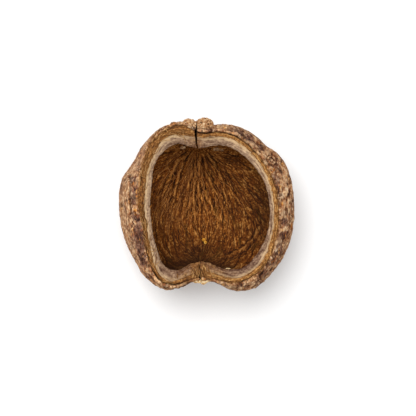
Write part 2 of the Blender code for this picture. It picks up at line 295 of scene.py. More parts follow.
body_radius = closed_curve(BODY_OUTLINE)
mouth_radius = closed_curve(MOUTH_OUTLINE)
band_radius = closed_curve(BAND_OUTLINE)
plain_groove = closed_curve(GROOVE_OUTLINE)
groove_open = closed_curve(GROOVE_OPEN, 1.0)
band_inner = closed_curve(BAND_INNER, 1.0)
band_outer = closed_curve(BAND_OUTER, 1.0)
wall_painted_shade = closed_curve(LINING_PAINTED_SHADE, 1.0)


def smooth_step(low, high, value):
    t = np.clip((value - low) / (high - low), 0.0, 1.0)
    return t * t * (3 - 2 * t)


def rim_height(azimuth):
    return RIM_HEIGHT + RIM_SADDLE * np.cos(2 * azimuth)


def groove_radius(azimuth):
    east, north = np.sin(azimuth), np.cos(azimuth)
    wander = noise_at(east * 6, north * 6) + noise_at(east * 17, north * 17)
    return plain_groove(azimuth) + GROOVE_WANDER * wander


def groove_closed(azimuth):
    """1 where the amber layer and the rind still hold together, 0 where a dark groove parts them."""
    broken = noise_at(np.sin(azimuth) * 11, np.cos(azimuth) * 11, 71.0)
    return np.clip(1 - groove_open(azimuth) + 0.45 * broken, 0.0, 1.0)


def band_drop(azimuth):
    """How far the mouth's edge lies under the rim."""
    return BAND_START - BAND_SLOPE * (band_radius(azimuth) - mouth_radius(azimuth))


def polar(radius, azimuth, height):
    azimuth, radius, height = np.broadcast_arrays(azimuth, radius, height)
    return np.stack([radius * np.sin(azimuth), radius * np.cos(azimuth), height], axis=-1)


def bowl(side, azimuth, tilt, edge_radius, edge_height):
    """Points of a side of the wall, from its lowest point at tilt 0 to its edge at tilt 1."""
    turn = tilt * (math.pi / 2 + TURN_IN)
    lobed = smooth_step(0.2, 0.8, tilt)
    widest = lobed * body_radius(azimuth) + (1 - lobed) * BACK_RADIUS - side["inset"]
    out = np.sin(np.minimum(turn, math.pi / 2))
    low = side["bottom"] + (WIDEST_HEIGHT - side["bottom"]) * (1 - np.cos(np.minimum(turn, math.pi / 2)))
    lean = np.maximum(turn - math.pi / 2, 0.0)
    share = (1 - np.cos(lean)) / (1 - math.cos(TURN_IN))
    rise = np.sin(lean) / math.sin(TURN_IN)
    radius = np.where(lean > 0, widest + (edge_radius - widest) * share, widest * out)
    height = np.where(lean > 0, WIDEST_HEIGHT + (edge_height - WIDEST_HEIGHT) * rise, low)
    points = polar(radius, azimuth, height)
    points[..., :2] += side["centre"] * np.where(lean > 0, 0.0, 1 - out)[..., None]
    return points


def to_meridians(azimuth, tilt):
    """along runs from the stem, 0, to the beak, 1, and across from the left lip, -1, to the right lip, 1."""
    angle = tilt * math.pi / 2
    x = np.sin(angle) * np.sin(azimuth)
    y = np.sin(angle) * np.cos(azimuth)
    return np.arccos(np.clip(y, -1, 1)) / math.pi, np.arctan2(x, np.cos(angle)) / (math.pi / 2)


def from_meridians(along, across):
    x = np.sin(along * math.pi) * np.sin(across * math.pi / 2)
    y = np.cos(along * math.pi)
    z = np.sin(along * math.pi) * np.cos(across * math.pi / 2)
    return np.arctan2(x, y), np.arccos(np.clip(z, -1, 1)) / (math.pi / 2)


# Relief

def noise_at(x, y, z=0.0):
    """Smooth noise, from about -1 to 1, at each of the places."""
    x, y, z = np.broadcast_arrays(x, y, z)
    values = [noise.noise(place) for place in zip(x.ravel(), y.ravel(), z.ravel())]
    return np.array(values).reshape(x.shape)


def layered_noise(points, size, layers=3, seed=0.0):
    """Noise in several layers, each half as large and half as strong as the one before."""
    total = np.zeros(points.shape[:-1])
    for layer in range(layers):
        scaled = points / (size * 0.5**layer)
        total += 0.5**layer * noise_at(scaled[..., 0] + seed, scaled[..., 1], scaled[..., 2])
    return total


def ridged(x, y, z):
    """Sharp-topped ridges, from about -0.8 to 0.5."""
    return 0.5 - 1.6 * np.abs(noise_at(x, y, z))


def bell(distance, width):
    return np.exp(-(distance / width) ** 2)


def spots(points, places, ragged):
    """How much each point belongs to marks at places, given as (x, y, z, radius) in millimetres. ragged
    moves their outlines in and out."""
    total = np.zeros(points.shape[:-1])
    for x, y, z, radius in places:
        distance = np.linalg.norm(points - np.array([x, y, z]) * MM, axis=-1) / (radius * MM)
        total = np.maximum(total, 1 - smooth_step(0.75, 1.1, distance + ragged))
    return total


def smooth_path(controls, steps=6):
    """A smooth curve through a list of points, with this many steps between one and the next."""
    controls = np.array(controls, float)
    padded = np.vstack([2 * controls[0] - controls[1], controls, 2 * controls[-1] - controls[-2]])
    t = np.arange(steps)[:, None] / steps
    stretches = [
        hermite(t, start, end, (end - before) / 2, (after - start) / 2)
        for before, start, end, after in zip(padded, padded[1:], padded[2:], padded[3:])
    ]
    return np.vstack([*stretches, controls[-1:]])


def distance_to_path(plan, path):
    """How far each place in the plan is from a path of straight steps, and how far along it, from 0 to 1."""
    nearest = np.full(plan.shape[:-1], np.inf)
    reached = np.zeros(plan.shape[:-1])
    for i, (start, end) in enumerate(zip(path, path[1:])):
        run = end - start
        share = np.clip(((plan - start) @ run) / max(run @ run, 1e-12), 0, 1)
        distance = np.linalg.norm(plan - start - share[..., None] * run, axis=-1)
        closer = distance < nearest
        nearest = np.where(closer, distance, nearest)
        reached = np.where(closer, (i + share) / (len(path) - 1), reached)
    return nearest, reached


def grid_normals(points, wrap_columns=True):
    """Unit normals of a grid of points, down its rows and round its columns."""
    down = np.gradient(points, axis=0)
    if wrap_columns:
        round_about = (np.roll(points, -1, axis=1) - np.roll(points, 1, axis=1)) / 2
    else:
        round_about = np.gradient(points, axis=1)
    normals = np.cross(down, round_about)
    lengths = np.linalg.norm(normals, axis=-1, keepdims=True)
    return normals / np.maximum(lengths, 1e-12)


def wrinkle(along, across):
    """The same folds of the outside as the solid has."""
    wave = noise_at(across * 9.0, along * 2.2, 4.0)
    lump = noise_at(across * 2.6, along * 3.4, 9.0)
    ends = np.sin(along * math.pi) ** 0.6
    return 0.75 * MM * (wave + lump) * ends * (1 - smooth_step(0.8, 1.0, np.abs(across)))


def rib(along, across):
    """The same ribs of the lining as the solid has."""
    fanned = across / (1 + 0.7 * (along - 0.5))
    wander = 0.08 * noise_at(across * 2.0, along * 3.0, 1.0)
    wave = 0.5 - 2 * np.abs(noise_at((fanned + wander) * 13.0, along * 1.6, 7.0))
    strength = (1 - 0.6 * smooth_step(0.4, 0.9, np.abs(across))) * (1 - 0.5 * smooth_step(0.5, 0.95, along))
    ends = np.sin(along * math.pi) ** 0.6
    return 0.95 * MM * wave * strength * ends * (1 - smooth_step(0.85, 1.0, np.abs(across)))


def fan(points):
    """Lays the lining's fibres out as a fan. Returns the angle at which the fibre through each point leaves
    the stem, the distance from there, and how far apart fibres one radian from each other are."""
    level = points[..., :2]
    outward = level / np.maximum(np.linalg.norm(level, axis=-1, keepdims=True), 1e-9)
    level = level + outward * (0.8 * np.maximum(points[..., 2:] - 16 * MM, 0.0))
    from_stem, from_beak = level - FAN_STEM, level - FAN_BEAK
    at_stem = np.arctan2(from_stem[..., 0], -from_stem[..., 1])
    at_beak = np.arctan2(from_beak[..., 0], from_beak[..., 1])
    stem_distance = np.linalg.norm(from_stem, axis=-1)
    beak_distance = np.linalg.norm(from_beak, axis=-1)
    curved = 0.25 * smooth_step(0.25, 0.9, np.abs(at_stem + at_beak))
    closing = stem_distance * beak_distance / np.linalg.norm(FAN_STEM - FAN_BEAK)
    spread = (1 - curved) * stem_distance + curved * closing
    return at_stem + curved * at_beak, stem_distance, spread


def fibre_relief(points):
    """Strands of several widths along the fan. Those that are about two millimetres apart are strongest."""
    angle, distance, spread = fan(points)
    drift = layered_noise(points, 9.0 * MM, 2, 31.0) * 1.3 * MM
    drift = drift + layered_noise(points, 2.5 * MM, 1, 33.0) * 0.3 * MM
    angle = angle + drift / np.maximum(spread, 4 * MM)
    height = np.zeros(points.shape[:-1])
    tone = np.zeros(points.shape[:-1])
    for octave in range(6):
        per_radian = 4.0 * 2**octave
        apart = spread / per_radian
        weight = bell(np.log(np.maximum(apart, 1e-5) / (1.7 * MM)), 1.0)
        length = max(14.0 * 0.72**octave, 3.0) * MM
        strand = ridged(angle * per_radian, distance / length, 10.0 + octave)
        height += weight * strand * np.minimum(apart, 4 * MM) * 0.2
        tone += bell(np.log(np.maximum(apart, 1e-5) / (0.9 * MM)), 1.0) * strand
    return height, tone, np.stack([angle * 30 * MM, distance, 0 * angle], axis=-1)


# Meshes

def add_piece(name, points, faces, fields):
    """A smooth piece. fields are values at its points, kept for its material to read."""
    mesh = bpy.data.meshes.new(name)
    mesh.from_pydata(np.array(points).tolist(), [], faces)
    for field, values in fields.items():
        vector = values.ndim == 2
        attribute = mesh.attributes.new(field, "FLOAT_VECTOR" if vector else "FLOAT", "POINT")
        attribute.data.foreach_set("vector" if vector else "value", values.ravel().astype(np.float32))
    bm = bmesh.new()
    bm.from_mesh(mesh)
    bmesh.ops.recalc_face_normals(bm, faces=bm.faces)
    bm.to_mesh(mesh)
    bm.free()
    mesh.shade_smooth()
    piece = bpy.data.objects.new(name, mesh)
    bpy.context.scene.collection.objects.link(piece)
    return piece


def wrapped_piece(name, points, poles, fields):
    """A closed piece from a grid whose columns wrap round. With poles, the first and last rows are single
    points; without, the rows wrap round too."""
    rows, columns = points.shape[:2]
    index = np.arange(rows * columns).reshape(rows, columns)
    if poles:
        index = index[:-1] - (columns - 1)
        index[0] = 0
        last = index[-1, -1] + 1
        index = np.vstack([index, np.full((1, columns), last)])
        keep = np.concatenate([[0], np.arange(columns, (rows - 1) * columns), [(rows - 1) * columns]])
    else:
        index = np.vstack([index, index[:1]])
        keep = np.arange(rows * columns)
    beside = np.roll(index, -1, axis=1)
    quads = np.stack([index[:-1], index[1:], beside[1:], beside[:-1]], axis=-1).reshape(-1, 4)
    if poles:
        start = [(0, b, c) for _, b, c, _ in quads[:columns].tolist()]
        end = [(a, last, d) for a, _, _, d in quads[-columns:].tolist()]
        faces = start + quads[columns:-columns].tolist() + end
    else:
        faces = quads.tolist()
    return add_piece(name, points.reshape(-1, 3)[keep] + AXIS, faces, {
        field: values.reshape(rows * columns, *values.shape[2:])[keep] for field, values in fields.items()
    })


def through(controls, amounts):
    """Reads a smooth curve through control values at amounts from 0 to 1. controls: (points, azimuths)."""
    last = len(controls) - 1
    place = np.clip(amounts, 0, 1) * last
    i = np.minimum(place.astype(int), last - 1)
    t = (place - i)[:, None]
    before, start, end, after = (controls[np.clip(i + k, 0, last)] for k in (-1, 0, 1, 2))
    return hermite(t, start, end, (end - before) / 2, (after - start) / 2)


def make_rind():
    """The outer layer, from the foot up to its crest, down into the groove and back behind itself."""
    azimuth = np.linspace(0, 2 * math.pi, RIND_COLUMNS, endpoint=False)[None, :]
    groove, rim = groove_radius(azimuth), rim_height(azimuth)
    tilt = np.linspace(0, 1, RIND_ROWS)[:, None] ** 0.72
    outer = bowl(OUTSIDE, azimuth, tilt, groove + 1.6 * MM, rim - 0.8 * MM)
    crest_profile = [
        (1.25, -0.4), (0.9, -0.1), (0.6, -0.1), (0.35, -0.45), (0.2, -1.0), (0.1, -2.2), (0.05, -3.2),
        (1.4, -3.8),
    ]
    crest = np.concatenate([polar(groove + r * MM, azimuth, rim + z * MM) for r, z in crest_profile])
    back_tilt = np.linspace(0.96, 0, 12)[:, None]
    back = bowl(RIND_BACK, azimuth, back_tilt, groove + 1.4 * MM, rim - 3.8 * MM)
    points = np.concatenate([outer, crest, back])

    tilts = np.concatenate([tilt, np.ones((len(crest_profile), 1)), back_tilt]) + 0 * azimuth
    along, across = to_meridians(azimuth, tilts)
    normals = grid_normals(points)
    normals *= np.sign(np.sum(normals[RIND_ROWS // 2] * outer[RIND_ROWS // 2], axis=-1).mean())
    shown = np.ones(points.shape[:2])
    shown[RIND_ROWS + 4:] = 0.0
    shown[RIND_ROWS + 3] = 0.5
    from_foot = np.linalg.norm(points - np.append(OUTSIDE["centre"], 0.0), axis=-1)
    calm = smooth_step(*FOOT_CALM, from_foot)
    shoulder = smooth_step(0.7, 0.82, tilts + 0.05 * layered_noise(points, 4.0 * MM, 2, 15.0))

    lumps = layered_noise(points, 6.0 * MM, 2, 3.0)
    cork = layered_noise(points, 2.2 * MM, 4, 11.0)
    grain = ridged(across * 60, along * 11, 2.0) + 0.6 * ridged(across * 140, along * 22, 5.0)
    scales = smooth_step(-0.05, 0.12, layered_noise(points * np.array([1, 0.55, 1]), 2.4 * MM, 2, 41.0))
    pits = smooth_step(0.25, 0.6, noise_at(*np.moveaxis(points * np.array([1, 0.6, 1]) / (1.9 * MM), -1, 0)))
    chips = smooth_step(0.0, 0.12, noise_at(across * 34, along * 34, 8.0))
    fine = (
        0.25 * lumps + (0.14 + 0.32 * shoulder) * cork + (0.22 - 0.1 * shoulder) * grain
        + (0.06 + 0.12 * shoulder) * scales + 0.22 * shoulder * chips - (0.2 + 0.2 * shoulder) * pits - 0.15
    )
    from_knob = np.linalg.norm(points - np.array(KNOB) * MM, axis=-1) + 0.6 * MM * cork
    for radius, rise in KNOB_RINGS:
        fine = fine + rise * bell(from_knob - radius * MM, 0.4 * MM)
    from_crease, reached = distance_to_path(points[..., :2], smooth_path(np.array(CREASE) * MM))
    upper = points[..., 2] > MARKS_FROM
    worn = upper * smooth_step(0, 0.15, reached) * smooth_step(1, 0.85, reached)
    fine = fine - worn * (1.3 * bell(from_crease, 0.5 * MM) - 0.3 * bell(from_crease - 1.1 * MM, 0.5 * MM))
    for x, y, radius in PITS:
        from_pit = np.linalg.norm(points[..., :2] - np.array([x, y]) * MM, axis=-1)
        fine = fine - 0.9 * upper * bell(from_pit, radius * MM)
    height = wrinkle(along, across) * calm + fine * MM * shown * (0.3 + 0.7 * calm)
    height[RIND_ROWS + len(crest_profile):] = 0.0
    points = points + normals * height[..., None]
    points[..., 2] = np.maximum(points[..., 2], 0.0)

    ragged = 0.6 * layered_noise(points, 1.8 * MM, 3, 51.0)
    from_groove = np.linalg.norm(points[..., :2], axis=-1) - groove
    by_stem = smooth_step(0.6, 0.95, np.cos(azimuth - math.radians(-45)))
    by_beak = bell(np.degrees(azimuth) - 181.0, 8.0)
    reach = 0.45 + groove_closed(azimuth) * (0.35 + 0.9 * by_stem) + 2.0 * by_beak
    reach = reach * MM * (1 + 0.8 * ragged)
    inner = (1 - smooth_step(0.5, 1.3, from_groove / np.maximum(reach, 0.1 * MM))) * (tilts > 0.8)
    marks = [spots(points, places, ragged) for places in (PURPLE_PATCHES, ORANGE_SPOTS, PALE_FLAKES)]
    return wrapped_piece("rind", points, True, {
        "fibre": np.stack([across, along, tilts], axis=-1),
        "marks": np.stack(marks, axis=-1),
        "relief": fine,
        "shoulder": shoulder,
        "inner": inner,
    })


def make_lip():
    """The lip: up out of the groove, over the amber ridge, down the pale band, round the mouth's edge and
    back beneath itself."""
    azimuth = np.linspace(0, 2 * math.pi, LIP_COLUMNS, endpoint=False)
    groove, rim, mouth = groove_radius(azimuth), rim_height(azimuth), mouth_radius(azimuth)
    wander = 0.25 * MM * layered_noise(polar(mouth, azimuth, 0.0), 5.0 * MM, 3, 61.0)
    band, edge = band_radius(azimuth) - mouth + wander, band_drop(azimuth)
    amber = groove - mouth - band
    nibble = 0.18 * MM * layered_noise(polar(mouth, azimuth, 0.0), 2.0 * MM, 3, 63.0)
    ridge, step = mouth + band, mouth + band - 0.1 * band
    closed = groove_closed(azimuth)
    profile = [
        (groove - 0.05 * MM, -3.4 * MM),
        (groove + (0.6 * closed - 0.2) * MM, -1.6 * MM + 0.8 * MM * closed),
        (groove + (0.35 * closed - 0.65) * MM, -0.7 * MM + 0.4 * MM * closed),
        ((groove + ridge) / 2, -0.12 * MM),
        (ridge + 0.1 * amber, -0.35 * MM),
        (step, -0.75 * MM - BAND_SLOPE * 0.06 * band),
        (mouth + 0.60 * band, -0.55 * MM - BAND_SLOPE * 0.42 * band),
        (mouth + 0.25 * band, -0.50 * MM - BAND_SLOPE * 0.72 * band),
        (mouth + 0.05 * MM + nibble, edge + 0.05 * MM),
        (mouth + 0.12 * MM + nibble, edge - 0.45 * MM),
        (mouth + 0.9 * MM, edge - 1.1 * MM),
        (mouth + 2.4 * MM, edge - 1.5 * MM),
        (groove - 0.6 * MM, edge - 2.2 * MM),
        (groove - 0.05 * MM, -4.0 * MM),
    ]
    radii = np.stack([r for r, _ in profile])
    heights = np.stack([rim + z for _, z in profile])
    amounts = np.linspace(0, 1, LIP_ROWS)
    amounts = amounts - 0.05 * np.sin(2 * math.pi * amounts)
    points = polar(through(radii, amounts), azimuth[None, :], through(heights, amounts))

    normals = grid_normals(points)
    normals *= np.sign(normals[LIP_ROWS // 3, :, 2].mean())
    place = (amounts * (len(profile) - 1))[:, None] + 0 * azimuth[None, :]
    east, north = np.sin(azimuth)[None, :] + 0 * place, np.cos(azimuth)[None, :] + 0 * place
    strands = ridged(place * 2.2 + 0.8 * noise_at(east * 5, north * 5, 2.0), east * 11, north * 11)
    fine_strands = ridged(place * 5.0, east * 19, north * 19 + 9)
    lumps = layered_noise(points, 2.2 * MM, 4, 5.0)
    on_amber = smooth_step(0.6, 1.8, place) * (1 - smooth_step(4.3, 5.2, place))
    on_band = smooth_step(4.6, 5.6, place) * (1 - smooth_step(8.2, 9.0, place))
    streaks = ridged(place * 1.3 + 0.5 * noise_at(east * 5, north * 5, 7.0), east * 7, north * 7)
    fine = on_amber * (0.28 * strands + 0.22 * fine_strands + 0.4 * lumps)
    fine = fine + on_band * (0.13 * streaks + 0.06 * fine_strands + 0.16 * lumps)
    outward = smooth_step(8.0, 5.5, place)
    streaky = 0.3 + 1.3 * smooth_step(0.3, -0.5, np.cos(azimuth - math.radians(-50)))
    tone = (1 - outward) * band_inner(azimuth) + outward * band_outer(azimuth)
    tone = tone + streaky * streaks + 0.3 * lumps
    from_beak = (np.degrees(azimuth) - 180.0)[None, :] / 15 + 0.5 * lumps
    from_stem = ((np.degrees(azimuth) + 180) % 360 - 180)[None, :] / 7 + 0.5 * lumps
    torn = np.maximum(0.85 * bell(from_beak, 1.0), 0.45 * bell(from_stem, 1.0))
    radial = ridged(east * 26 + 0.1 * place, 0.2 * place, 3.0)
    fine = fine + on_band * torn * (0.5 * radial + 0.4 * lumps)
    points = points + normals * (fine * MM)[..., None]
    return wrapped_piece("lip", points, False, {
        "rim": np.stack([place, east, north], axis=-1),
        "relief": fine,
        "torn": torn,
        "closed": closed[None, :] + 0 * place,
        "tone": tone,
    })


def painted_lining_shade(azimuth, height):
    """How much painted shade the lining gets at an azimuth and a height, and under 0, how much
    painted light.
    """
    middling, high = smooth_step(5.5 * MM, 11 * MM, height), smooth_step(10 * MM, 22 * MM, height)
    return np.clip(0.03 + wall_painted_shade(azimuth) * (0.6 * middling + 0.5 * high), -0.5, 0.9)


def make_lining():
    """The inside, from under the lip's edge down to the floor and up again, with a hidden outer face."""
    inner = np.linspace(-1, 1, LINING_COLUMNS)
    inner = inner - 0.25 * np.sin(math.pi * inner) / math.pi
    hidden = np.linspace(1, -1, HIDDEN_COLUMNS + 2)[1:-1]
    across = np.concatenate([inner, hidden])[None, :]
    station = np.linspace(0, 1, LINING_STATIONS)[:, None]
    along = station - 0.03 * np.sin(2 * math.pi * station)
    azimuth, tilt = from_meridians(along + 0 * across, across + 0 * along)
    edge_radius = mouth_radius(azimuth) + 1.2 * MM
    edge_height = rim_height(azimuth) + band_drop(azimuth) - 1.25 * MM
    points = bowl(INSIDE, azimuth, tilt, edge_radius, edge_height)
    normals = grid_normals(points, wrap_columns=False)
    middle = LINING_STATIONS // 2
    normals *= np.sign(normals[middle, LINING_COLUMNS // 2, 2])
    normals[:, LINING_COLUMNS:] *= np.sign(normals[middle, LINING_COLUMNS + HIDDEN_COLUMNS // 2, 2])
    is_hidden = (np.arange(across.size) >= LINING_COLUMNS)[None, :]

    ends = np.sin(along * math.pi) ** 0.5
    rim_fade = 1 - smooth_step(0.9, 1.0, np.abs(across))
    strands, tone, fibre = fibre_relief(points)
    pleats = 1 + 1.1 * bell(np.linalg.norm(points[..., :2] - FAN_STEM, axis=-1), 16 * MM)
    calm = 1 - 0.7 * smooth_step(-10 * MM, -26 * MM, points[..., 1])
    pleats, tone = pleats * calm, tone * calm
    wavy = np.stack([layered_noise(points, 4.5 * MM, 2, seed) for seed in (91.0, 95.0)], axis=-1)
    plan = points[..., :2] + 0.9 * MM * wavy
    main = np.zeros(points.shape[:2])
    for controls in STRANDS:
        distance, reached = distance_to_path(plan, smooth_path(np.array(controls) * MM))
        strength = smooth_step(0.1, 0.3, reached) * (1 - smooth_step(0.7, 1.0, reached))
        main += strength * (1.3 * bell(distance, 0.6 * MM) - 1.2 * bell(distance - 1.2 * MM, 0.5 * MM))
    main = np.clip(main, -0.9, 1.2)
    low = 1 - 0.8 * smooth_step(14 * MM, 26 * MM, points[..., 2])
    lumps = layered_noise(points, 3.2 * MM, 3, 21.0)
    fine = strands * pleats + (0.75 * main * low + 0.2 * lumps) * MM
    height = 0.5 * rib(along, across) + fine * ends * rim_fade
    # Painted shade up the walls and painted light on the left wall, kept for the lining's material
    painted_shade = painted_lining_shade(azimuth, points[..., 2])
    behind = -2.6 * MM * np.sin(along * math.pi) * np.cos(across * math.pi / 2)
    points = points + normals * np.where(is_hidden, behind, height)[..., None]
    return wrapped_piece("lining", points, True, {
        "fibre": fibre,
        "relief": fine / MM,
        "tone": tone + 0.8 * main * low,
        "painted_shading": painted_shade,
    })


def split_wedge(name, path):
    """A closed wedge along a split: wide at the top, a third as wide at its foot."""
    corners = []
    for x, y, half, foot in smooth_path(path, 4) * MM:
        corners += [(x - half, y, SPLIT_TOP * MM), (x + half, y, SPLIT_TOP * MM)]
        corners += [(x + half / 3, y, foot), (x - half / 3, y, foot)]
    faces = [(0, 1, 2, 3)]
    for i in range(0, len(corners) - 4, 4):
        faces += [(i + k, i + (k + 1) % 4, i + 4 + (k + 1) % 4, i + 4 + k) for k in range(4)]
    faces.append(tuple(len(corners) - k for k in (1, 2, 3, 4)))
    return add_piece(name, np.array(corners) + AXIS, faces, {})


def cut(piece, cutters):
    """Cuts the splits out of a piece, for good."""
    for cutter in cutters:
        modifier = piece.modifiers.new(cutter.name, "BOOLEAN")
        modifier.operation = "DIFFERENCE"
        modifier.solver = "MANIFOLD"
        modifier.material_mode = "TRANSFER"
        modifier.object = cutter
    depsgraph = bpy.context.evaluated_depsgraph_get()
    mesh = bpy.data.meshes.new_from_object(piece.evaluated_get(depsgraph))
    piece.modifiers.clear()
    piece.data = mesh


def rough_lump(name, centre, radii, seed, roughness, fineness=6):
    """A rough woody lump with ridges and pits. centre and radii are in millimetres, from the axis."""
    bm = bmesh.new()
    bmesh.ops.create_icosphere(bm, subdivisions=fineness, radius=1.0)
    unit = np.array([corner.co for corner in bm.verts])
    faces = [[corner.index for corner in face.verts] for face in bm.faces]
    bm.free()
    shift = np.array([seed, 0.0, 0.0])
    lumps = layered_noise(unit + shift, 0.7, 4)
    folds = ridged(*np.moveaxis(unit * 2.6 + shift, -1, 0))
    pits = smooth_step(0.2, 0.5, noise_at(*np.moveaxis(unit * 5.0 + shift, -1, 0)))
    relief = lumps + 0.5 * folds - 0.5 * pits
    points = unit * (1 + roughness * relief)[:, None]
    points = (np.array(centre) + points * np.array(radii)) * MM + AXIS
    return add_piece(name, points, faces, {"relief": relief})


def tubes(name, paths, radii, tones, sides=4):
    """Thin closed fibres along paths, thickest in the middle, each with its own tone."""
    points, faces, tone = [], [], []
    for path, radius, value in zip(paths, radii, tones):
        path = np.array(path)
        count = len(path)
        runs = np.gradient(path, axis=0)
        runs /= np.maximum(np.linalg.norm(runs, axis=1, keepdims=True), 1e-12)
        aside = np.cross(runs, (0.0, 0.0, 1.0))
        aside /= np.maximum(np.linalg.norm(aside, axis=1, keepdims=True), 1e-6)
        above = np.cross(aside, runs)
        shape = radius * (0.25 + 0.75 * np.sin(np.linspace(0.08, math.pi - 0.08, count)) ** 0.6)
        first = len(points)
        for k in range(sides):
            turn = 2 * math.pi * k / sides
            ring = path + shape[:, None] * (math.cos(turn) * aside + math.sin(turn) * above)
            points.extend(ring)
        for k in range(sides):
            here, beside = first + k * count, first + (k + 1) % sides * count
            faces += [(here + i, here + i + 1, beside + i + 1, beside + i) for i in range(count - 1)]
        faces.append(tuple(first + k * count for k in range(sides)))
        faces.append(tuple(first + k * count + count - 1 for k in reversed(range(sides))))
        tone += [value] * (sides * count)
    return add_piece(name, points, faces, {"tone": np.array(tone)})


def surface_under(trees, x, y, top):
    """The highest surface under a place in the plan, as a point and its normal, or nothing."""
    best = None
    for tree in trees:
        place, normal, _, _ = tree.ray_cast(Vector((x, y, top)), Vector((0, 0, -1)))
        if place is not None and (best is None or place.z > best[0].z):
            best = (place, normal)
    return best


def lay_fibres(name, pieces, start, heading, top, seed, painted_shade=None):
    """Fibres that lie on what is highest of pieces under top. start draws a place in the plan, heading gives
    the way on from a point, and the last argument darkens them by place as painted shade, and lightens them
    as painted light where it gives under 0."""
    count, *limits = FIBRES[name]
    length, radius, lift = [(least * MM, most * MM) for least, most in limits]
    chance = random.Random(seed)
    depsgraph = bpy.context.evaluated_depsgraph_get()
    trees = [BVHTree.FromObject(piece, depsgraph) for piece in pieces]
    paths, radii, tones = [], [], []
    while len(paths) < count:
        place = np.array(start(chance))
        thick, high = chance.uniform(*radius), chance.uniform(*lift)
        steps = max(5, round(chance.uniform(*length) / FIBRE_STEP))
        stray = chance.uniform(0, 1) < STRAY_SHARE
        veer, phase = math.radians(chance.gauss(0, 50 if stray else 11)), chance.uniform(0, 99)
        path = []
        for i in range(steps):
            hit = surface_under(trees, place[0], place[1], top)
            if hit is None or abs(hit[1].z) < STEEPEST:
                break
            point, normal = np.array(hit[0]), np.array(hit[1]) * (1 if hit[1].z > 0 else -1)
            if path and np.linalg.norm(point - path[-1]) > 3 * FIBRE_STEP:
                break
            rise = high * math.sin(math.pi * i / (steps - 1)) + 0.4 * thick
            path.append(point + normal * rise)
            turn = heading(point) + veer + 0.7 * noise.noise(Vector((phase, i * 0.3, 0.0)))
            place = place + FIBRE_STEP * np.array([math.sin(turn), math.cos(turn)])
        if len(path) >= 5:
            paths.append(path)
            radii.append(thick)
            # Painted shade by place, and painted light where it is under 0
            darker = painted_shade(path[len(path) // 2]) if painted_shade else 0.0
            tones.append(chance.uniform(0, 1) - darker + 0.15 * stray)
    return tubes(name, paths, radii, tones)


def fan_heading(point):
    """The way along the lining's fibres, away from the stem, as an angle in the plan."""
    d = 0.2 * MM
    local = point - AXIS
    around = np.array([local + (d, 0, 0), local - (d, 0, 0), local + (0, d, 0), local - (0, d, 0)])
    angle = fan(around)[0]
    across = np.array([angle[0] - angle[1], angle[2] - angle[3]])
    along = np.array([-across[1], across[0]])
    if along @ (local[:2] - FAN_STEM) < 0:
        along = -along
    return math.atan2(along[0], along[1])


def rim_heading(point):
    """The way round the rim, as an angle in the plan."""
    azimuth = math.atan2(*(point - AXIS)[:2])
    turns = np.array([azimuth, azimuth + 0.02])
    here, there = polar(band_radius(turns), turns, 0.0)[:, :2]
    return math.atan2(*(there - here))


def in_plan(azimuth, share, inner, outer):
    """A place in the plan at an azimuth, and at a share of the way from one outline to another."""
    near, far = (float(curve(np.array(azimuth))) for curve in (inner, outer))
    radius = near + (far - near) * share
    return AXIS[0] + radius * math.sin(azimuth), AXIS[1] + radius * math.cos(azimuth)


def on_lining(chance):
    """A place on the lining, more often in the upper half, where its fibres are longest."""
    while True:
        azimuth = chance.uniform(0, 2 * math.pi)
        radius = (float(mouth_radius(np.array(azimuth))) - 0.5 * MM) * math.sqrt(chance.uniform(0, 1))
        y = radius * math.cos(azimuth)
        if chance.uniform(0, 1) < 0.12 + 0.88 * smooth_step(-26 * MM, -4 * MM, y):
            return AXIS[0] + radius * math.sin(azimuth), AXIS[1] + y


# Painted shade for a loose strand at a place, as on the lining under it; under 0, painted light
def painted_shade_of_place(point):
    local = point - AXIS
    painted_shade = float(painted_lining_shade(math.atan2(local[0], local[1]), np.array(local[2])))
    return 1.1 * painted_shade if painted_shade > 0 else 0.5 * painted_shade


def on_ridge(chance):
    """A place on the amber ridge or just over the groove, most often on the left where they fray."""
    azimuth = math.radians(chance.choice([chance.uniform(*span) for span in FRAYED]))
    return in_plan(azimuth, chance.uniform(0, 1), band_radius, lambda turn: plain_groove(turn) + 0.5 * MM)


def on_beak(chance):
    """A place on the torn beak, out to the groove."""
    azimuth = math.radians(chance.gauss(180, 5))
    return in_plan(azimuth, chance.uniform(0.1, 1), mouth_radius, plain_groove)


def beak_heading(point):
    """Outward from the mouth's axis, as an angle in the plan."""
    return math.atan2(*(point - AXIS)[:2])


# Materials

